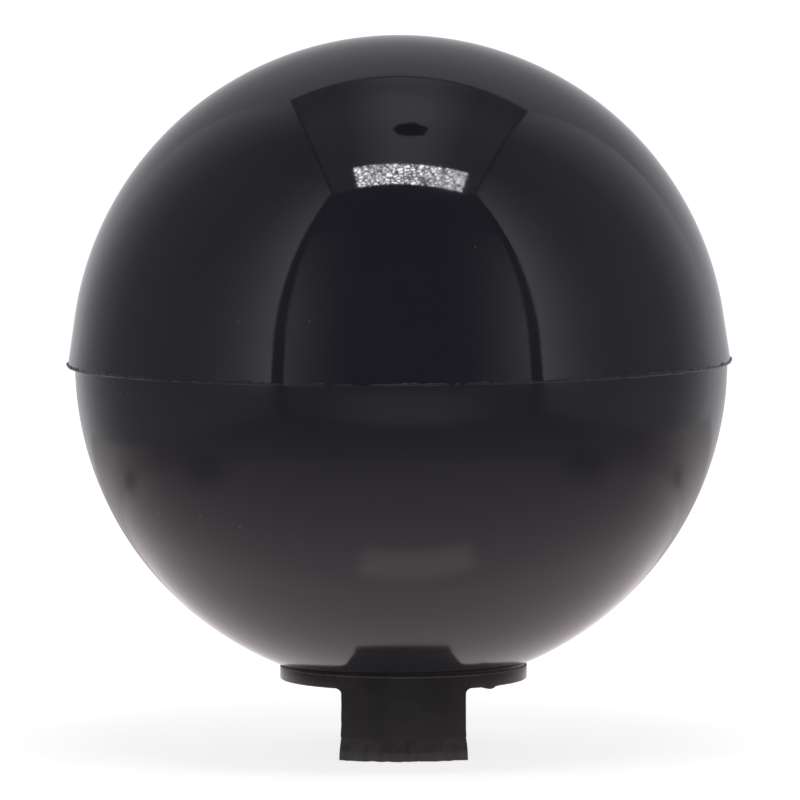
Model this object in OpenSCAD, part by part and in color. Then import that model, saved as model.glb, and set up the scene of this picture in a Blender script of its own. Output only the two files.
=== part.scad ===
// Ball float of a float valve: two moulded half shells welded at a seam,
// standing on a snap-in foot of one round disc and two tongues with catch lips.
// Millimetres, +Z up. The origin is the middle of the foot's base.
// The front tongue is on the -Y side.

/* [Ball] */
// Outside diameter of the ball
ball_d = 114; // [102:1:152]
// Wall thickness of both half shells
wall_t = 2.2; // [1.6:0.1:3]
// How far the seam lies below the middle of the ball
seam_drop = 0.8; // [0.4:0.1:3]
// Angle above the equator at which the upper shell turns into a straight skirt
skirt_angle = 8; // [4:1:10]

/* [Seam] */
// Height of the spigot of the lower shell inside the skirt of the upper one
spigot_h = 3.5; // [2.5:0.5:6]
// Height of the weld bead that runs round the outside
bead_h = 2; // [1.2:0.1:3]
// How far the weld bead stands out from the skirt
bead_out = 0.3; // [0.2:0.1:0.8]
// Thickness of the bead squeezed out on the inside
inner_bead_d = 2.4; // [1.6:0.2:3.2]

/* [Foot] */
// Outside diameter of the foot disc
foot_d = 43.2; // [36:0.4:48]
// Thickness of the foot disc
disc_t = 2.4; // [1.6:0.2:4]
// Height from the base of the foot to the underside of the disc
tongue_h = 12.3; // [9:0.1:18]
// Width of a tongue
tongue_w = 21.6; // [16:0.1:26]
// How far a tongue's outer face stands back from the rim of the disc
tongue_back = 0.25; // [0.25:0.05:0.5]
// Thickness of a tongue
tongue_t = 2.6; // [2:0.1:3.4]
// Radius of the fillets between a tongue and the disc
root_r = 0.9; // [0.5:0.1:1.5]

/* [Catch lip] */
// Height of the lip at the bottom of a tongue
lip_h = 3.8; // [3:0.1:5]
// How far the lip stands out from the tongue
lip_out = 1.5; // [0.8:0.1:1.7]
// How much wider the lip is than the tongue, on each side
lip_wider = 0.35; // [0:0.05:0.6]
// How far a tongue bends inwards as the foot is pressed into its ring
flex_angle = 7; // [5:0.5:8]

/* [Hidden] */
$fn = 96;
far = 200;                      // reaches past the whole float
ball_r = ball_d / 2;
foot_r = foot_d / 2;
disc_top = tongue_h + disc_t;
rim_step = 0.4;                 // narrow ledge on top of the disc, outside the ball
// The rim of the disc ends where the ball has the same radius
ball_z = disc_top + rim_step + sqrt(ball_r * ball_r - foot_r * foot_r);
seam_z = ball_z - seam_drop;
bore_r = ball_r - wall_t;       // inside radius of both shells

// Where the straight skirt leaves the ball, and how wide it is at the seam
skirt_r = ball_r * cos(skirt_angle);
skirt_top = ball_z + ball_r * sin(skirt_angle);
rim_r = skirt_r + (skirt_top - seam_z) * tan(skirt_angle);

// The lap joint in the middle of the wall
lap_r = ball_r - wall_t * 0.45;
lap_z = seam_z + spigot_h;

bead_r = bead_h / 2;
bead_z = seam_z + bead_r;
disc_edge_r = 0.3;              // rounding of the disc's rim
hinge_gap = 0.03;               // running clearance at the root of a tongue
tongue_r = foot_r - tongue_back;
hinge_r = tongue_r - tongue_t / 2;
hinge_z = tongue_h - hinge_gap;
hinge_relief = flex_angle + 0.5;
knuckle_r = 0.4;                // round bead at the root that the tongue turns on
knuckle_w = 10;

// Ring whose half section is drawn in the plane of radius and height
module turned() { rotate_extrude($fn = 180) children(); }

// Half sections of a ball, and of everything above a height or below it
module ball_section(r) { translate([0, ball_z]) circle(r, $fn = 180); }
module above(z) { translate([0, z]) square([far, far]); }
module below(z) { translate([0, z - far]) square([far, far]); }

// Core of the lap joint. It stands up from the lower shell inside the skirt, and
// reaches a little way down into that shell.
module spigot_section() {
    root = wall_t / 2;
    translate([0, seam_z - root]) square([lap_r, spigot_h + root]);
}

// Straight skirt that widens down to the seam
module skirt_section() {
    polygon([[0, seam_z], [rim_r, seam_z], [skirt_r, skirt_top], [0, skirt_top]]);
}

module upper_shell() {
    color([0.09, 0.09, 0.10])
    turned() difference() {
        union() {
            intersection() { ball_section(ball_r); above(skirt_top); }
            skirt_section();
        }
        ball_section(bore_r);
        spigot_section();
    }
}

module lower_shell() {
    color([0.12, 0.12, 0.13])
    turned() difference() {
        union() {
            intersection() { ball_section(ball_r); below(seam_z); }
            spigot_section();
        }
        ball_section(bore_r);
    }
}

// Rounded bead of melted plastic round the lower edge of the skirt
module outer_weld_bead() {
    color([0.14, 0.14, 0.15])
    turned() difference() {
        translate([rim_r + bead_out - bead_r, bead_z]) circle(bead_r, $fn = 48);
        skirt_section();
    }
}

// Matching bead on the inside of the joint, at the top of the spigot
module inner_weld_bead() {
    color([0.14, 0.14, 0.15])
    turned() intersection() {
        translate([bore_r, lap_z]) circle(inner_bead_d / 2, $fn = 32);
        ball_section(bore_r);
    }
}

// Round pilot disc under the ball, with a groove for the root of each tongue
module foot_disc() {
    color([0.13, 0.13, 0.14])
    difference() {
        turned() difference() {
            disc_section();
            ball_section(ball_r);
        }
        for (turn = [0, 180]) rotate([0, 0, turn]) knuckle(hinge_gap);
    }
}

// Round bead along the hinge line of the -Y tongue, or the groove that holds it
module knuckle(gap) {
    translate([0, -hinge_r, hinge_z]) rotate([0, 90, 0])
        cylinder(r = knuckle_r + gap, h = knuckle_w + 2 * gap, center = true, $fn = 32);
}

// Half section of the disc with its two rim edges rounded
module disc_section() {
    e = disc_edge_r;
    translate([0, tongue_h]) square([foot_r - e, disc_t]);
    translate([0, tongue_h + e]) square([foot_r, disc_t - 2 * e]);
    for (z = [tongue_h + e, disc_top - e])
        translate([foot_r - e, z]) circle(e, $fn = 24);
}

// Half section of a tongue: a curved plate with a lip of quarter-elliptic outline
module tongue_section() {
    plate_in = tongue_r - tongue_t;
    lip = [for (a = [0:15:90]) [tongue_r + lip_out * cos(a), lip_h * sin(a)]];
    polygon(concat([[plate_in, tongue_h], [plate_in, 0]], lip, [[tongue_r, tongue_h]]));
}

// Front outline of a tongue, with fillets at the root and a lip that widens
module tongue_outline() {
    w = tongue_w / 2;
    lip_w = w + lip_wider;
    translate([-w, 0]) square([tongue_w, tongue_h]);
    polygon([[-lip_w, 0], [lip_w, 0], [lip_w, lip_h / 2], [w, lip_h], [-w, lip_h], [-lip_w, lip_h / 2]]);
    for (side = [-1, 1]) scale([side, 1])
        difference() {
            translate([0, tongue_h - root_r]) square([w + root_r, root_r]);
            translate([w + root_r, tongue_h - root_r]) circle(root_r, $fn = 32);
        }
}

// Tongue on the -Y side. Its root turns about a line along X, half way through
// the plate, and is cut back behind that line to leave room for the motion.
module tongue() {
    difference() {
        intersection() {
            turned() tongue_section();
            translate([0, -foot_r / 2, 0]) rotate([90, 0, 0])
                linear_extrude(foot_r) tongue_outline();
            translate([-foot_r, -foot_d, 0]) cube([foot_d, foot_d, hinge_z]);
        }
        translate([0, -hinge_r, hinge_z]) rotate([-hinge_relief, 0, 0])
            translate([-foot_r, 0, 0]) cube([foot_d, foot_r, foot_r]);
    }
    knuckle(0);
}

module front_tongue() { color([0.16, 0.16, 0.17]) tongue(); }
module rear_tongue() { color([0.16, 0.16, 0.17]) rotate([0, 0, 180]) tongue(); }

upper_shell();
lower_shell();
outer_weld_bead();
inner_weld_bead();
foot_disc();
front_tongue();
rear_tongue();
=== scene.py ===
"""Looks of the ball float: gloss upper shell, duller lower shell, uneven weld and moulded foot."""
import math

import bmesh
import bpy
from mathutils import Matrix, Vector, noise

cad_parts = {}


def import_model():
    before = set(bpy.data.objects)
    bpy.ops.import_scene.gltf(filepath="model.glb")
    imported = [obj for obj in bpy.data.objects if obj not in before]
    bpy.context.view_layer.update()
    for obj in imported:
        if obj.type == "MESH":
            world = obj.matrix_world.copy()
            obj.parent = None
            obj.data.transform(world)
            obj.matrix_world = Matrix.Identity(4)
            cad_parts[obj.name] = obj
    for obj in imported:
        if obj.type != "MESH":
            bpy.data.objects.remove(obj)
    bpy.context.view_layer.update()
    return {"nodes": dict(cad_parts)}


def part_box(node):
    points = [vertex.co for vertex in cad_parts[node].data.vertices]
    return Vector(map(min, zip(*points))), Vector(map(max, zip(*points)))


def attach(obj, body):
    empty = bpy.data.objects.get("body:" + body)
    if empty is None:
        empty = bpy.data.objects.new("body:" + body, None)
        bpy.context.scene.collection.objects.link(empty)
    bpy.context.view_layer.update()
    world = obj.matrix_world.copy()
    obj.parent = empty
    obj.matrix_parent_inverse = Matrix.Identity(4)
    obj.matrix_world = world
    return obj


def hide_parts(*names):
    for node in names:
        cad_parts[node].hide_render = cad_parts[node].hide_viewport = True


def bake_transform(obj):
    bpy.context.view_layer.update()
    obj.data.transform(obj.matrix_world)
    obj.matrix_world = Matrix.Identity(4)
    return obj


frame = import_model()

MM = 0.001
TURN = 2 * math.pi

# Sizes and places, all worked out from the frame
ball_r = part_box("lower_shell")[1].x
ball_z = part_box("upper_shell")[1].z - ball_r
seam_lift = 0.45 * MM              # the photo shows the seam this much higher than the frame
seam_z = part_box("upper_shell")[0].z + seam_lift
rim_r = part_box("upper_shell")[1].x
bead_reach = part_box("outer_weld_bead")[1].x
disc_low, disc_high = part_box("foot_disc")
disc_r = disc_high.x
tongue_low, tongue_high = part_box("front_tongue")
lip_reach = -tongue_low.y
lip_half = tongue_high.x

# Details that the frame doesn't hold
wall = 2.2 * MM
lap = 3.5 * MM                     # height of the spigot inside the skirt
skirt_angle = math.radians(8)      # where the round dome turns into the straight skirt
lip_height = 3.8 * MM
tongue_thick = 2.6 * MM
tongue_half = lip_half - 0.35 * MM
root_fillet = 0.9 * MM
edge_round = 0.3 * MM
lean = math.radians(0.33)          # the ball leans a little to the left on its foot
offset = 0.33 * MM                 # the upper shell was welded on this far to the left
extra_width = 0.0045               # the upper shell is wider than round by this share
flash_limit = 1.003 * bead_reach   # the flash round the seam reaches no further than this

AROUND = 256                       # steps round a turned piece


def arc(centre, radius, start, end, steps):
    """Points on an arc in the plane of radius and height. Angles are in degrees above the horizon."""
    points = []
    for k in range(steps + 1):
        a = math.radians(start + (end - start) * k / steps)
        points.append((centre[0] + radius * math.cos(a), centre[1] + radius * math.sin(a)))
    return points


def wobble(point, size, seed):
    """Smooth noise from -1 to 1 whose lumps are about size across."""
    return noise.noise(Vector(point) / size + Vector((seed, seed * 1.7, -seed)))


def finish_mesh(name, bm, sharp=35):
    """Turns a bmesh into an object with smooth shading and sharp edges past an angle in degrees."""
    bmesh.ops.recalc_face_normals(bm, faces=bm.faces[:])
    mesh = bpy.data.meshes.new(name)
    bm.to_mesh(mesh)
    bm.free()
    mesh.polygons.foreach_set("use_smooth", [True] * len(mesh.polygons))
    mesh.set_sharp_from_angle(angle=math.radians(sharp))
    obj = bpy.data.objects.new(name, mesh)
    bpy.context.scene.collection.objects.link(obj)
    return obj


def turned(name, outline, shape, around=AROUND):
    """Turns a closed outline of (radius, height) points about Z. A point on the axis becomes a pole.

    shape(x, y, z) says where each point ends up.
    """
    bm = bmesh.new()
    rings = []
    for r, z in outline:
        steps = 1 if r < 1e-7 else around
        ring = []
        for i in range(steps):
            a = TURN * i / around
            ring.append(bm.verts.new(shape(r * math.cos(a), r * math.sin(a), z)))
        rings.append(ring)
    for k, ring in enumerate(rings):
        other = rings[(k + 1) % len(rings)]
        if len(ring) == 1 and len(other) == 1:
            continue
        for i in range(around):
            j = (i + 1) % around
            corners = [ring[i % len(ring)], ring[j % len(ring)],
                       other[j % len(other)], other[i % len(other)]]
            bm.faces.new(list(dict.fromkeys(corners)))
    return finish_mesh(name, bm)


# ---------------------------------------------------------------- materials

def node_group(material):
    """Clears a material's nodes and returns its tree, its shader and the object coordinates."""
    material.use_nodes = True
    tree = material.node_tree
    tree.nodes.clear()
    out = tree.nodes.new("ShaderNodeOutputMaterial")
    shader = tree.nodes.new("ShaderNodeBsdfPrincipled")
    tree.links.new(shader.outputs["BSDF"], out.inputs["Surface"])
    place = tree.nodes.new("ShaderNodeTexCoord").outputs["Object"]
    return tree, shader, place


def add_noise(tree, place, size, detail=3.0, rough=0.5, stretch=None):
    """Noise with lumps about size metres across. stretch lengthens them along X, Y or Z."""
    if stretch:
        mapping = tree.nodes.new("ShaderNodeMapping")
        mapping.inputs["Scale"].default_value = [1 / s for s in stretch]
        tree.links.new(place, mapping.inputs["Vector"])
        place = mapping.outputs["Vector"]
    texture = tree.nodes.new("ShaderNodeTexNoise")
    texture.inputs["Scale"].default_value = 1 / size
    texture.inputs["Detail"].default_value = detail
    texture.inputs["Roughness"].default_value = rough
    tree.links.new(place, texture.inputs["Vector"])
    return texture.outputs["Fac"]


def add_range(tree, value, low, high, to_low, to_high):
    """Maps a value from one range to another, without going past its ends."""
    remap = tree.nodes.new("ShaderNodeMapRange")
    for key, number in (("From Min", low), ("From Max", high), ("To Min", to_low), ("To Max", to_high)):
        remap.inputs[key].default_value = number
    tree.links.new(value, remap.inputs["Value"])
    return remap.outputs["Result"]


def add_math(tree, operation, a, b):
    step = tree.nodes.new("ShaderNodeMath")
    step.operation = operation
    for socket, value in zip(step.inputs, (a, b)):
        if isinstance(value, (int, float)):
            socket.default_value = value
        else:
            tree.links.new(value, socket)
    return step.outputs[0]


def add_mix(tree, factor, a, b):
    """Mixes two colours by a factor from 0 to 1. A colour may be a plain tuple or a socket."""
    mix = tree.nodes.new("ShaderNodeMix")
    mix.data_type = "RGBA"
    tree.links.new(factor, mix.inputs["Factor"])
    for socket, value in zip(mix.inputs[6:8], (a, b)):
        if isinstance(value, tuple):
            socket.default_value = (*value, 1)
        else:
            tree.links.new(value, socket)
    return mix.outputs[2]


def add_specks(tree, place, spacing, radius, share):
    """Small round specks: 1 inside, 0 outside. Only a share of the cells holds one."""
    cells = tree.nodes.new("ShaderNodeTexVoronoi")
    cells.inputs["Scale"].default_value = 1 / spacing
    cells.inputs["Randomness"].default_value = 1.0
    tree.links.new(place, cells.inputs["Vector"])
    near = add_range(tree, cells.outputs["Distance"], radius / spacing * 0.6, radius / spacing, 1, 0)
    split = tree.nodes.new("ShaderNodeSeparateColor")
    tree.links.new(cells.outputs["Color"], split.inputs["Color"])
    chosen = add_math(tree, "LESS_THAN", split.outputs["Red"], share)
    return add_math(tree, "MULTIPLY", near, chosen)


def add_bumps(tree, shader, heights):
    """Chains bump nodes. Each height is (socket, metres from its 0 to its 1)."""
    normal = None
    for socket, height in heights:
        bump = tree.nodes.new("ShaderNodeBump")
        bump.inputs["Distance"].default_value = height
        tree.links.new(socket, bump.inputs["Height"])
        if normal is not None:
            tree.links.new(normal, bump.inputs["Normal"])
        normal = bump.outputs["Normal"]
    tree.links.new(normal, shader.inputs["Normal"])


def upper_plastic():
    """Black plastic from a polished mould: a clear gloss with a faint ripple, wipe marks and dust."""
    material = bpy.data.materials.new("upper_plastic")
    tree, shader, place = node_group(material)
    clouds = add_noise(tree, place, 0.02, 4)
    wipes = add_noise(tree, place, 0.006, 5, 0.6, stretch=(3, 1, 1.6))
    ripple = add_noise(tree, place, 0.0012, 2, 0.4)
    waves = add_noise(tree, place, 0.012, 1)
    dust = add_specks(tree, place, 0.004, 0.00018, 0.16)
    rough = add_math(tree, "ADD", add_range(tree, clouds, 0.35, 0.7, 0.035, 0.075),
                     add_range(tree, wipes, 0.55, 0.8, 0, 0.05))
    rough = add_math(tree, "ADD", rough, add_math(tree, "MULTIPLY", dust, 0.5))
    tree.links.new(rough, shader.inputs["Roughness"])
    base = add_mix(tree, clouds, (0.0118, 0.0112, 0.0172), (0.0150, 0.0144, 0.0206))
    tree.links.new(add_mix(tree, dust, base, (0.09, 0.085, 0.075)), shader.inputs["Base Color"])
    shader.inputs["IOR"].default_value = 1.49
    add_bumps(tree, shader, [(waves, 12e-6), (ripple, 2.4e-6), (dust, 30e-6)])
    return material


def lower_plastic():
    """The same plastic with a duller skin: broad hazy highlights, rubbed streaks, more dust."""
    material = bpy.data.materials.new("lower_plastic")
    tree, shader, place = node_group(material)
    clouds = add_noise(tree, place, 0.025, 5)
    rubs = add_noise(tree, place, 0.004, 6, 0.65, stretch=(2.2, 2.2, 0.8))
    grain = add_noise(tree, place, 0.0006, 3, 0.6)
    waves = add_noise(tree, place, 0.012, 1)
    dust = add_specks(tree, place, 0.0035, 0.00018, 0.2)
    rough = add_math(tree, "ADD", add_range(tree, clouds, 0.3, 0.7, 0.10, 0.15),
                     add_range(tree, rubs, 0.5, 0.8, 0, 0.07))
    rough = add_math(tree, "ADD", rough, add_math(tree, "MULTIPLY", dust, 0.4))
    tree.links.new(rough, shader.inputs["Roughness"])
    base = add_mix(tree, clouds, (0.0128, 0.0120, 0.0156), (0.0168, 0.0155, 0.0185))
    tree.links.new(add_mix(tree, dust, base, (0.11, 0.105, 0.09)), shader.inputs["Base Color"])
    shader.inputs["IOR"].default_value = 1.49
    add_bumps(tree, shader, [(waves, 10e-6), (grain, 2e-6), (dust, 30e-6)])
    return material


def weld_plastic():
    """Melted and cooled plastic: uneven gloss with small pits and pale bruises."""
    material = bpy.data.materials.new("weld_plastic")
    tree, shader, place = node_group(material)
    lumps = add_noise(tree, place, 0.0015, 4, 0.6)
    pits = add_noise(tree, place, 0.0004, 3, 0.6)
    tree.links.new(add_range(tree, lumps, 0.3, 0.7, 0.26, 0.5), shader.inputs["Roughness"])
    pale = add_range(tree, lumps, 0.55, 0.75, 0, 1)
    base = add_mix(tree, pale, (0.012, 0.012, 0.0125), (0.04, 0.039, 0.038))
    tree.links.new(base, shader.inputs["Base Color"])
    shader.inputs["IOR"].default_value = 1.49
    add_bumps(tree, shader, [(lumps, 60e-6), (pits, 15e-6)])
    return material


def foot_plastic():
    """Satin moulded black plastic, brownish in patches and towards the sides. The disc's top edge and the
    lips are rougher and painted pale: a painted highlight along the top edge, painted light on the lips.
    """
    material = bpy.data.materials.new("foot_plastic")
    tree, shader, place = node_group(material)
    clouds = add_noise(tree, place, 0.006, 5, 0.6)
    grain = add_noise(tree, place, 0.00035, 3, 0.6)
    drag = add_noise(tree, place, 0.0009, 4, 0.6, stretch=(1, 1, 6))
    specks = add_specks(tree, place, 0.0022, 0.00014, 0.3)
    split = tree.nodes.new("ShaderNodeSeparateXYZ")
    tree.links.new(place, split.inputs["Vector"])
    height = add_math(tree, "ADD", split.outputs["Z"], add_range(tree, drag, 0, 1, -0.15 * MM, 0.15 * MM))
    edge = disc_high.z
    # Painted highlight: a thin band along the disc's rounded top edge
    above_band = add_range(tree, split.outputs["Z"], edge + 0.02 * MM, edge + 0.06 * MM, 1, 0)
    band = add_range(tree, height, edge - 0.30 * MM, edge - 0.16 * MM, 0, 1)
    top = add_math(tree, "MULTIPLY", band, above_band)
    lip = add_range(tree, height, lip_height - 0.1 * MM, lip_height + 0.1 * MM, 1, 0)
    sides = add_math(tree, "ABSOLUTE", split.outputs["X"], 0)
    brown = add_math(tree, "ADD", add_range(tree, sides, 0.35 * lip_half, 0.9 * lip_half, 0, 0.8),
                     add_range(tree, clouds, 0.45, 0.7, 0, 0.4))
    rough = add_range(tree, clouds, 0.3, 0.7, 0.20, 0.34)
    scuffed = add_math(tree, "MAXIMUM", lip, top)
    rough = add_math(tree, "ADD", rough, add_math(tree, "MULTIPLY", scuffed, 0.14))
    tree.links.new(rough, shader.inputs["Roughness"])
    mottle = add_range(tree, clouds, 0.3, 0.7, 0, 1)
    base = add_mix(tree, mottle, (0.0062, 0.0062, 0.0095), (0.0125, 0.0110, 0.0118))
    base = add_mix(tree, brown, base, (0.0180, 0.0145, 0.0145))
    # Painted light: the lips are painted paler, as their upward slope catches the light, streaked along the
    # drag scratches
    dragged = add_range(tree, drag, 0.35, 0.65, 0, 1)
    lip_light_and_scratches = add_mix(tree, dragged, (0.046, 0.040, 0.041), (0.072, 0.062, 0.062))
    base = add_mix(tree, add_math(tree, "MULTIPLY", lip, 0.9), base, lip_light_and_scratches)
    # Paints the highlight along the disc's top edge
    base = add_mix(tree, top, base, (0.062, 0.047, 0.045))
    tree.links.new(add_mix(tree, specks, base, (0.07, 0.066, 0.06)), shader.inputs["Base Color"])
    shader.inputs["IOR"].default_value = 1.49
    shader.inputs["Specular IOR Level"].default_value = 0.33
    add_bumps(tree, shader, [(drag, 8e-6), (grain, 5e-6), (specks, 30e-6)])
    return material


# ---------------------------------------------------------------- the object

def out_of_round(x, y, z):
    """Moulding shrinkage: the ball is up to a tenth of a millimetre out of round."""
    p = Vector((x, y, z - ball_z))
    distance = p.length
    if distance < 1e-6:
        return (x, y, z)
    shift = 0.1 * MM * wobble(p.normalized(), 0.9, 3)
    p *= (distance + shift) / distance
    return (p.x, p.y, p.z + ball_z)


def widened(x, y, z):
    """The upper shell is also a little wider than round, growing from nothing at its top."""
    x, y, z = out_of_round(x, y, z)
    share = extra_width * min(1, (ball_z + ball_r - z) / (0.25 * ball_r))
    return (x * (1 + share), y * (1 + share), z)


def lean_over(obj, shift=0.0):
    """Leans a piece of the ball to the left about the middle of the foot's disc."""
    pivot = Vector((0, 0, disc_low.z))
    turn = Matrix.Translation(pivot) @ Matrix.Rotation(-lean, 4, "Y") @ Matrix.Translation(-pivot)
    obj.data.transform(turn @ Matrix.Translation((-shift, 0, 0)))
    return obj


def upper_shell():
    centre = (0, ball_z)
    top = arc(centre, ball_r, 90, math.degrees(skirt_angle), 110)
    top[0] = (0, ball_z + ball_r)
    skirt_r, skirt_z = top[-1]
    skirt = [(skirt_r + (rim_r - skirt_r) * t / 8, skirt_z + (seam_z - skirt_z) * t / 8) for t in range(1, 8)]
    nose = [(rim_r, seam_z + 0.02 * MM), (rim_r - 0.02 * MM, seam_z)]
    lap_r = ball_r - 0.45 * wall
    inner_r = ball_r - wall
    lap_top = seam_z + lap
    socket = [(lap_r, seam_z), (lap_r, lap_top)]
    inner_start = math.degrees(math.asin((lap_top - ball_z) / inner_r))
    inner = arc(centre, inner_r, inner_start, 90, 60)
    inner[-1] = (0, ball_z + inner_r)
    return turned("upper_shell_skin", top + skirt + nose + socket + inner, widened)


def lower_shell():
    centre = (0, ball_z)
    inner_r = ball_r - wall
    lap_r = ball_r - 0.45 * wall - offset     # clear of the socket, which stands aside by the offset
    start = math.degrees(math.asin((seam_z - ball_z) / ball_r))
    gate_r, gate_h = 1.6 * MM, 0.22 * MM
    gate_angle = -90 + math.degrees(gate_r / ball_r)
    outer = arc(centre, ball_r, start, gate_angle, 110)
    foot_z = outer[-1][1]
    gate = [(gate_r * 0.98, foot_z - gate_h * 0.7), (gate_r * 0.85, foot_z - gate_h),
            (gate_r * 0.3, foot_z - gate_h), (0, foot_z - gate_h * 0.8)]
    lap_top = seam_z + lap
    inner_end = math.degrees(math.asin((lap_top - ball_z) / inner_r))
    inner = arc(centre, inner_r, -90, inner_end, 60)
    inner[0] = (0, ball_z - inner_r)
    rim = [(lap_r, lap_top), (lap_r, seam_z)]
    return turned("lower_shell_skin", outer + gate + inner + rim, out_of_round)


def weld_bead():
    """Uneven bead round the lower edge of the skirt, with a curl of flash at each side of the ball."""
    bm = bmesh.new()
    across, around = 14, 1400
    # Each curl: its angle, how far it stands out, how far it rises, and its half width in radians
    curls = ((math.pi, 0.16 * MM, 0.15 * MM, 0.05), (0.0, 0.14 * MM, 0.25 * MM, 0.09),
             (3.75, 0.06 * MM, 0.05 * MM, 0.05), (5.2, 0.10 * MM, 0.05 * MM, 0.025))
    rings = []
    for i in range(around):
        a = TURN * i / around
        direction = Vector((math.cos(a), math.sin(a), 0))
        lumps = wobble(direction, 0.07, 11) + 0.6 * wobble(direction, 0.02, 5)
        radius = max(0.05, 0.17 + 0.2 * lumps + 0.12 * abs(direction.x)) * MM
        out = rise = 0
        for place, reach, height, width in curls:
            gap = (a - place + math.pi) % TURN - math.pi
            share = math.exp(-(gap / width) ** 2) * (1 + 0.3 * wobble(direction, 0.01, 2))
            out += reach * share
            rise += height * share
        middle_r = (1 + extra_width) * rim_r - 0.16 * MM
        middle_z = seam_z + radius + 0.02 * MM + 0.10 * MM * wobble(direction, 0.04, 8)
        ring = []
        for k in range(across):
            b = TURN * k / across
            tip = max(0, math.cos(b)) ** 2
            r = min(middle_r + radius * math.cos(b) + out * tip, flash_limit)
            z = middle_z + radius * math.sin(b) + rise * (0.25 + 0.75 * tip)
            ring.append(bm.verts.new((direction.x * r, direction.y * r, z)))
        rings.append(ring)
    for i in range(around):
        for k in range(across):
            j, n = (i + 1) % around, (k + 1) % across
            bm.faces.new((rings[i][k], rings[j][k], rings[j][n], rings[i][n]))
    return finish_mesh("weld_bead_flash", bm, 60)


def foot_disc():
    """The disc under the ball: a ring that follows the ball inside, with rounded rims and a nib of flash."""
    low, high = disc_low.z, disc_high.z
    e = edge_round
    top_e = 0.03 * MM
    contact_low = math.sqrt(ball_r ** 2 - (ball_z - low) ** 2) - 0.3 * MM
    outline = arc((disc_r - top_e, high - top_e), top_e, 90, 0, 4) + arc((disc_r - e, low + e), e, 0, -90, 5)
    outline += [(contact_low + t * (disc_r - e - contact_low), low) for t in (0.8, 0.5, 0.2, 0)]
    outline += [(contact_low + 0.1 * MM, low + 0.5 * MM)]
    outline += [(math.sqrt((ball_r - 0.35 * MM) ** 2 - (ball_z - z) ** 2), z)
                for z in (low + 0.9 * MM, low + 1.5 * MM, high)]
    # A low collar fills the corner between the rim and the ball
    collar = high + 0.55 * MM
    collar_r = math.sqrt((ball_r - 0.25 * MM) ** 2 - (ball_z - collar) ** 2)
    outline += [(collar_r, collar), (disc_r - 0.28 * MM, high)]
    nib_middle, nib_half = math.radians(-45), math.radians(5.5)

    def shape(x, y, z):
        direction = Vector((x, y, 0)).normalized()
        z += 0.025 * MM * wobble(direction, 0.08, 4)
        gap = (math.atan2(y, x) - nib_middle) / nib_half
        if z < low + 0.6 * MM and math.hypot(x, y) > disc_r - 0.7 * MM and abs(gap) < 1:
            z -= 0.45 * MM * (1 - abs(gap)) ** 0.7 * (0.35 + 0.65 * (gap < 0.4))
        return (x, y, z)

    return turned("foot_disc_skin", outline, shape, 360)


def tongue_profile():
    """Outline of a tongue as (radius, height), and the number of its last point, at the inner top.

    It runs from the top of the outer face down, round the lip and up the inner face.
    """
    face_r = disc_r + 0.02 * MM
    inner_r = face_r - tongue_thick
    top = disc_high.z - 0.03 * MM
    levels = 52
    outline = []
    for k in range(levels + 1):
        outline.append((face_r, top + (lip_height - top) * k / levels))
    for k in range(1, 19):
        t = k / 19
        z = lip_height * (1 - t)
        bulge = min(1.6 * t, math.sqrt(1 - (z / lip_height) ** 2))
        outline.append((face_r + (lip_reach - face_r) * bulge, z))
    e = 0.25 * MM
    outline += arc((lip_reach - e, e), e, 0, -90, 4)[1:]
    outline += [(inner_r + (lip_reach - inner_r) * t, 0) for t in (0.7, 0.5, 0.3)]
    outline += arc((inner_r + e, e), e, -90, -180, 3)
    for k in range(1, levels + 1):
        outline.append((inner_r, e + (disc_low.z + 0.3 * MM - e) * k / levels))
    return outline, len(outline) - 1


def tongue_half_width(z):
    """Half width of a tongue at a height, with the fillets at its root and the wider lip."""
    root = disc_low.z
    half = tongue_half
    near_root = z - (root - root_fillet)
    if near_root > 0 and z < root:
        half += root_fillet - math.sqrt(max(0, root_fillet ** 2 - near_root ** 2))
    elif z >= root:
        half += root_fillet
    if z < lip_height:
        half += (lip_half - tongue_half) * math.sin(math.radians(90) * (1 - z / lip_height))
    return half


def tongue_point(r, z, s, turn):
    """A point of the tongue. s runs from -1 to 1 across it."""
    x = s * tongue_half_width(z)
    if z < disc_low.z - root_fillet:
        x += 0.05 * MM * abs(s) ** 6 * wobble((x, z, turn), 0.0022, 6)
    y = -math.sqrt(r * r - x * x)
    ragged_to = 1.2 * MM
    if z < ragged_to:
        ragged = 0.05 + 0.12 * wobble((x, turn, 0), 0.0016, 9) + 0.06 * wobble((x, turn, 0), 0.0005, 1)
        z += max(0, ragged) * MM * (1 - z / ragged_to)
    return (x, y, z)


def close_side(bm, grid, side, inner_top):
    """Joins the outer and the inner face along one side of a tongue, level by level."""
    outer, inner = 0, inner_top
    while outer + 1 < inner:
        step_out = abs(grid[outer + 1][side].co.z - grid[inner][side].co.z)
        step_in = abs(grid[outer][side].co.z - grid[inner - 1][side].co.z)
        if step_out < step_in:
            bm.faces.new((grid[outer][side], grid[outer + 1][side], grid[inner][side]))
            outer += 1
        else:
            bm.faces.new((grid[outer][side], grid[inner - 1][side], grid[inner][side]))
            inner -= 1


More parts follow.
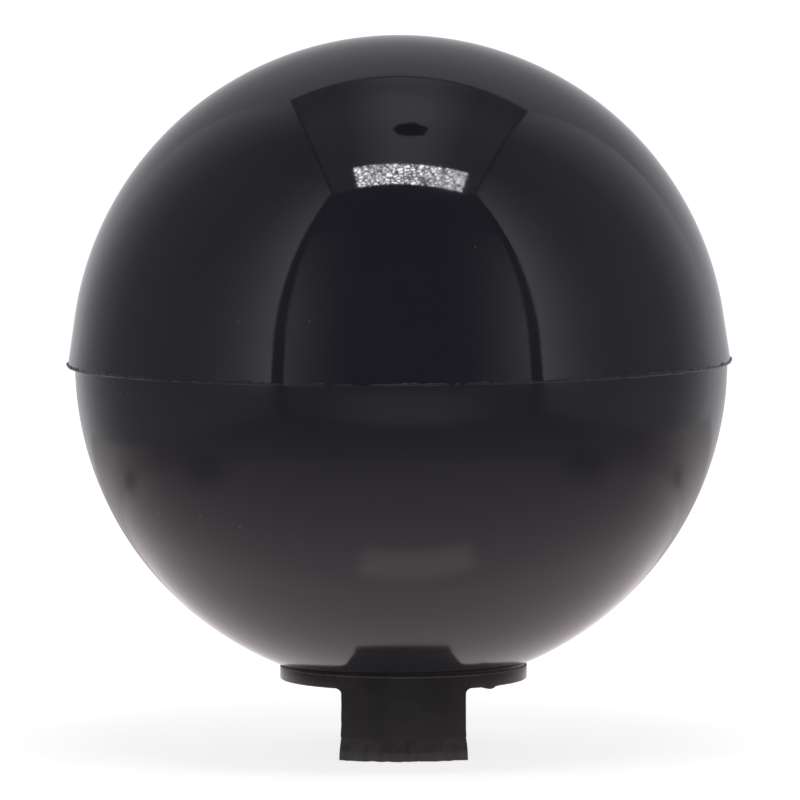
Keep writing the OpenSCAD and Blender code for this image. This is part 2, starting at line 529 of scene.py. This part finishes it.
def tongue(name, turn):
    """A tongue with its fillets and lip, built on the -Y side and turned about Z."""
    bm = bmesh.new()
    columns = 72
    outline, inner_top = tongue_profile()
    grid = []
    for r, z in outline:
        across = [2 * i / columns - 1 for i in range(columns + 1)]
        grid.append([bm.verts.new(tongue_point(r, z, s, turn)) for s in across])
    rows = len(grid)
    for k in range(rows):
        n = (k + 1) % rows
        for i in range(columns):
            bm.faces.new((grid[k][i], grid[k][i + 1], grid[n][i + 1], grid[n][i]))
    for side in (0, columns):
        close_side(bm, grid, side, inner_top)
    bmesh.ops.transform(bm, matrix=Matrix.Rotation(turn, 4, "Z"), verts=bm.verts[:])
    return finish_mesh(name, bm, 22)


def dress(obj, material, slot_name, body, *nodes):
    """Gives a piece its material and its body, and hides the CAD nodes it stands for. slot_name is not used.
    """
    obj.data.materials.clear()
    obj.data.materials.append(material)
    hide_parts(*nodes)
    if body:
        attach(obj, body)
    return obj


upper_look, lower_look = upper_plastic(), lower_plastic()
weld_look, foot_look = weld_plastic(), foot_plastic()
dress(lean_over(upper_shell(), offset), upper_look, "upper_plastic", "float_body", "upper_shell")
dress(lean_over(lower_shell()), lower_look, "lower_plastic", "float_body", "lower_shell")
dress(lean_over(weld_bead(), offset), weld_look, "weld_plastic", "float_body", "outer_weld_bead")
dress(foot_disc(), foot_look, "foot_plastic", "float_body", "foot_disc")
for name, body, turn in (("front_tongue", "front_catch", 0), ("rear_tongue", "rear_catch", math.pi)):
    piece = dress(tongue(name + "_skin", turn), foot_look, "foot_plastic", None, name)
    out = Vector((0, -disc_r, 0))
    out.rotate(Matrix.Rotation(turn, 3, "Z"))
    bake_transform(piece)
inner_bead = frame["nodes"]["inner_weld_bead"]
inner_bead.data.materials.clear()
inner_bead.data.materials.append(weld_look)


# ---------------------------------------------------------------- the light tent

tent_h = 9 * ball_r                # ceiling above the middle of the ball
ceiling_z = ball_z + tent_h
# Plan of the tent, which stands a little askew and off centre
front_left, front_right = Vector((-0.382, -0.47)) * tent_h, Vector((0.437, -0.45)) * tent_h
back_right, back_left = Vector((0.523, 0.562)) * tent_h, Vector((-0.422, 0.557)) * tent_h
turntable_r = 0.152


def emitter(name, strength, colour=(1, 1, 1)):
    """Emissive material. strength is a number, or a function that builds it from a tree."""
    material = bpy.data.materials.new(name)
    material.use_nodes = True
    tree = material.node_tree
    tree.nodes.clear()
    out = tree.nodes.new("ShaderNodeOutputMaterial")
    light = tree.nodes.new("ShaderNodeEmission")
    light.inputs["Color"].default_value = (*colour, 1)
    if callable(strength):
        tree.links.new(strength(tree), light.inputs["Strength"])
    else:
        light.inputs["Strength"].default_value = strength
    tree.links.new(light.outputs["Emission"], out.inputs["Surface"])
    return material


def panel(name, corners, material):
    """A flat panel of the tent, which lights the object and shows in its gloss, but not to the camera."""
    mesh = bpy.data.meshes.new(name)
    mesh.from_pydata([Vector(c) for c in corners], [], [tuple(range(len(corners)))])
    mesh.materials.append(material)
    obj = bpy.data.objects.new(name, mesh)
    bpy.context.scene.collection.objects.link(obj)
    obj.visible_camera = False
    obj.visible_shadow = False
    return obj


def upright(name, a, b, low, high, material):
    """An upright panel between two places on the plan."""
    return panel(name, [(*a, low), (*b, low), (*b, high), (*a, high)], material)


def position(tree):
    """X, Y and Z of the shaded point."""
    place = tree.nodes.new("ShaderNodeNewGeometry").outputs["Position"]
    split = tree.nodes.new("ShaderNodeSeparateXYZ")
    tree.links.new(place, split.inputs["Vector"])
    return split.outputs


def distance_to(tree, x, y):
    """Distance from an upright line at (x, y)."""
    px, py, _ = position(tree)
    dx, dy = add_math(tree, "SUBTRACT", px, x), add_math(tree, "SUBTRACT", py, y)
    both = add_math(tree, "ADD", add_math(tree, "MULTIPLY", dx, dx), add_math(tree, "MULTIPLY", dy, dy))
    return add_math(tree, "SQRT", both, 0)


def away(tree, value, middle):
    """How far a value is from a middle one."""
    return add_math(tree, "ABSOLUTE", add_math(tree, "SUBTRACT", value, middle), 0)


def wall_light(gain):
    """Side wall: brightest beside the front opening, dim half way, brighter again at the back."""
    def build(tree):
        _, y, z = position(tree)
        near = add_math(tree, "POWER", add_range(tree, y, -0.06, -0.235, 0, 1), 2)
        near = add_math(tree, "MULTIPLY", near, add_range(tree, z, ball_z - 0.035, ball_z, 0, 0.9))
        near = add_math(tree, "MULTIPLY", near, add_range(tree, z, ball_z + 0.2, ceiling_z, 1, 0.4))
        far = add_range(tree, y, 0.05, 0.24, 0.25, 0.62)
        far = add_math(tree, "MULTIPLY", far, add_range(tree, z, ball_z + 0.1, ceiling_z, 1, 0.75))
        return add_math(tree, "MULTIPLY", add_math(tree, "ADD", near, far), gain)
    return build


def ceiling_light(tree):
    """Ceiling: brighter along its middle."""
    x, y, _ = position(tree)
    off = away(tree, x, 0.02)
    across = add_range(tree, off, 0.03, 0.13, 0.62, 0.25)
    return add_math(tree, "MULTIPLY", across, add_range(tree, y, 0.08, 0.2, 1, 0.6))


def rear_light(tree):
    """Rear sheet: white behind the ball, dimmer towards the ceiling."""
    _, _, z = position(tree)
    return add_range(tree, z, ball_z + 0.02, ball_z + 0.2, 0.72, 0.46)


def opening_light(tree):
    """Front opening: a dim room whose sides catch the tent's light, and a paler patch low in the middle."""
    x, _, z = position(tree)
    off = away(tree, x, 0.01)
    side = add_math(tree, "POWER", add_range(tree, off, 0.07, 0.2, 0, 1), 1.4)
    side = add_math(tree, "MULTIPLY", side, add_range(tree, z, ball_z + 0.08, ball_z + 0.3, 0.55, 0.03))
    above = add_math(tree, "ADD", side, 0.085)
    below = add_range(tree, off, 0.03, 0.14, 0.36, 0.17)
    share = add_range(tree, z, ball_z - 0.03, ball_z - 0.01, 0, 1)
    mixed = add_math(tree, "MULTIPLY", above, share)
    rest = add_math(tree, "MULTIPLY", below, add_math(tree, "SUBTRACT", 1.0, share))
    return add_math(tree, "ADD", mixed, rest)


def lamp_light(tree):
    """Lamp strip: bright cells in a dark net."""
    place = tree.nodes.new("ShaderNodeNewGeometry").outputs["Position"]
    bend = tree.nodes.new("ShaderNodeTexNoise")
    bend.inputs["Scale"].default_value = 1 / 0.012
    tree.links.new(place, bend.inputs["Vector"])
    shift = tree.nodes.new("ShaderNodeVectorMath")
    shift.operation = "MULTIPLY_ADD"
    tree.links.new(bend.outputs["Color"], shift.inputs[0])
    shift.inputs[1].default_value = (0.02, 0.02, 0.0)
    tree.links.new(place, shift.inputs[2])
    net = tree.nodes.new("ShaderNodeTexVoronoi")
    net.feature = "DISTANCE_TO_EDGE"
    net.inputs["Scale"].default_value = 1 / 0.012
    tree.links.new(shift.outputs[0], net.inputs["Vector"])
    return add_range(tree, net.outputs["Distance"], 0.05, 0.28, 1.5, 26)


def floor_glow(tree):
    """Painted light on the floor as the gloss sees it: bright round the foot, a dim surround past the
    turntable's edge.
    """
    _, y, _ = position(tree)
    near = add_math(tree, "DIVIDE", 0.075, distance_to(tree, 0, 0.04))
    glow = add_math(tree, "MINIMUM", add_math(tree, "POWER", near, 1.35), 0.84)
    glow = add_math(tree, "ADD", glow, add_range(tree, y, -0.01, 0.12, 0, 0.5))
    edge = add_range(tree, distance_to(tree, 0, 0), turntable_r - 0.002, turntable_r, 1, 0.8)
    glow = add_math(tree, "MULTIPLY", glow, edge)
    # Dark patches beside the turntable
    for px, py, r in ((-0.132, -0.056, 0.034), (0.13, -0.07, 0.034),
                      (-0.145, 0.055, 0.02), (0.15, 0.07, 0.02)):
        dark = add_range(tree, distance_to(tree, px, py), 0.25 * r, r, 0.5, 1)
        glow = add_math(tree, "MULTIPLY", glow, dark)
    # A soft painted reflection of the lamp strip in the floor
    x, y, _ = position(tree)
    across = add_range(tree, away(tree, x, 0.0055), 0.018, 0.023, 1, 0)
    along = add_range(tree, away(tree, y, -0.0595), 0.004, 0.009, 1, 0)
    lamp = add_math(tree, "MULTIPLY", add_math(tree, "MULTIPLY", across, along), 0.42)
    return add_math(tree, "ADD", glow, lamp)


def build_tent():
    cool = (0.97, 0.95, 1.0)
    corners = [(*c, ceiling_z) for c in (front_left, front_right, back_right, back_left)]
    panel("tent_ceiling", corners, emitter("ceiling_glow", ceiling_light, cool))
    for name, a, b, light in (("left", front_left, back_left, wall_light(1.0)),
                              ("right", front_right, back_right, wall_light(1.12)),
                              ("rear", back_left, back_right, rear_light),
                              ("opening", front_left, front_right, opening_light)):
        upright("tent_" + name, a, b, 0, ceiling_z, emitter(name + "_glow", light, cool))
    seam = emitter("seam_dark", 0.08)
    # Posts beside the opening, and the thin seams round the ceiling
    for a, side in ((front_left, 1), (front_right, -1)):
        panel("tent_post", [(a.x, a.y + 0.018, 0), (a.x + side * 0.018, a.y, 0),
                            (a.x + side * 0.006, a.y, ceiling_z), (a.x, a.y + 0.006, ceiling_z)], seam)
    inset = 0.97
    for a, b in ((front_left, back_left), (back_left, back_right), (back_right, front_right)):
        z = ceiling_z - 0.001
        panel("tent_seam", [(*a, z), (*b, z), (*(b * inset), z), (*(a * inset), z)], seam)
    lamp_left, lamp_right = -0.115, 0.180
    lamp_front, lamp_back = -0.232, -0.150
    z = ceiling_z - 0.004
    panel("tent_lamp", [(lamp_left, lamp_front, z), (lamp_right, lamp_front, z), (lamp_right, lamp_back, z),
                        (lamp_left, lamp_back, z)], emitter("lamp_glow", lamp_light, (0.95, 0.96, 1.0)))
    outline = []
    for k in range(48):
        a = TURN * k / 48
        ragged = 1 + 0.16 * wobble((math.cos(a), math.sin(a), 0), 0.4, 3)
        outline.append((0.025 + 0.036 * ragged * math.cos(a), -0.009 + 0.030 * ragged * math.sin(a), z))
    panel("tent_hole", outline, emitter("hole_dark", 0.02))


def floor():
    """White floor. It fades to the white of the surround, and keeps a soft shadow round the foot."""
    size = 6.0
    mesh = bpy.data.meshes.new("floor")
    corners = [(-size, -size, 0), (size, -size, 0), (size, size, 0), (-size, size, 0)]
    mesh.from_pydata(corners, [], [(0, 1, 2, 3)])
    obj = bpy.data.objects.new("floor", mesh)
    bpy.context.scene.collection.objects.link(obj)
    material = bpy.data.materials.new("floor_white")
    material.use_nodes = True
    tree = material.node_tree
    tree.nodes.clear()
    out = tree.nodes.new("ShaderNodeOutputMaterial")
    paper = tree.nodes.new("ShaderNodeBsdfDiffuse")
    paper.inputs["Color"].default_value = (0.5, 0.5, 0.5, 1)
    lift = tree.nodes.new("ShaderNodeEmission")
    # Painted light and shade: the floor's own glow is dimmer near the foot and full white further off, so the
    # soft shadow round the foot is partly cast and partly painted
    tree.links.new(add_range(tree, distance_to(tree, 0, 0), 0.05, 0.25, 0.80, 1.0), lift.inputs["Strength"])
    add = tree.nodes.new("ShaderNodeAddShader")
    tree.links.new(paper.outputs[0], add.inputs[0])
    tree.links.new(lift.outputs[0], add.inputs[1])
    seen = tree.nodes.new("ShaderNodeEmission")
    seen.inputs["Color"].default_value = (1.02, 0.935, 0.955, 1)
    tree.links.new(floor_glow(tree), seen.inputs["Strength"])
    rays = tree.nodes.new("ShaderNodeLightPath")
    choose = tree.nodes.new("ShaderNodeMixShader")
    tree.links.new(rays.outputs["Is Glossy Ray"], choose.inputs["Fac"])
    tree.links.new(add.outputs[0], choose.inputs[1])
    tree.links.new(seen.outputs[0], choose.inputs[2])
    tree.links.new(choose.outputs[0], out.inputs["Surface"])
    mesh.materials.append(material)


def world():
    """White to the camera, and a dim room to the object."""
    sky = bpy.data.worlds.new("studio")
    bpy.context.scene.world = sky
    sky.use_nodes = True
    tree = sky.node_tree
    tree.nodes.clear()
    out = tree.nodes.new("ShaderNodeOutputWorld")
    white = tree.nodes.new("ShaderNodeBackground")
    white.inputs["Color"].default_value = (1, 1, 1, 1)
    room = tree.nodes.new("ShaderNodeBackground")
    room.inputs["Color"].default_value = (0.10, 0.10, 0.11, 1)
    rays = tree.nodes.new("ShaderNodeLightPath")
    choose = tree.nodes.new("ShaderNodeMixShader")
    tree.links.new(rays.outputs["Is Camera Ray"], choose.inputs["Fac"])
    tree.links.new(room.outputs[0], choose.inputs[1])
    tree.links.new(white.outputs[0], choose.inputs[2])
    tree.links.new(choose.outputs[0], out.inputs["Surface"])


build_tent()
floor()
world()


def camera():
    """Long lens, a little above the middle of the ball, aimed just below it and to the left of the foot."""
    data = bpy.data.cameras.new("camera")
    data.lens = 361.0
    data.sensor_width = 36
    obj = bpy.data.objects.new("camera", data)
    bpy.context.scene.collection.objects.link(obj)
    data.clip_end = 20
    distance = 24.6 * ball_r
    rise = math.radians(3.8)
    drop = math.radians(0.2764)
    roll = math.radians(-0.1)
    aside = -0.53 * MM
    obj.location = (aside, -distance * math.cos(rise), ball_z + distance * math.sin(rise))
    turn = Matrix.Rotation(math.radians(90) - rise - drop, 4, "X") @ Matrix.Rotation(roll, 4, "Z")
    obj.matrix_world = Matrix.Translation(obj.location) @ turn
    bpy.context.scene.camera = obj


camera()
scene = bpy.context.scene
scene.view_settings.view_transform = "Standard"
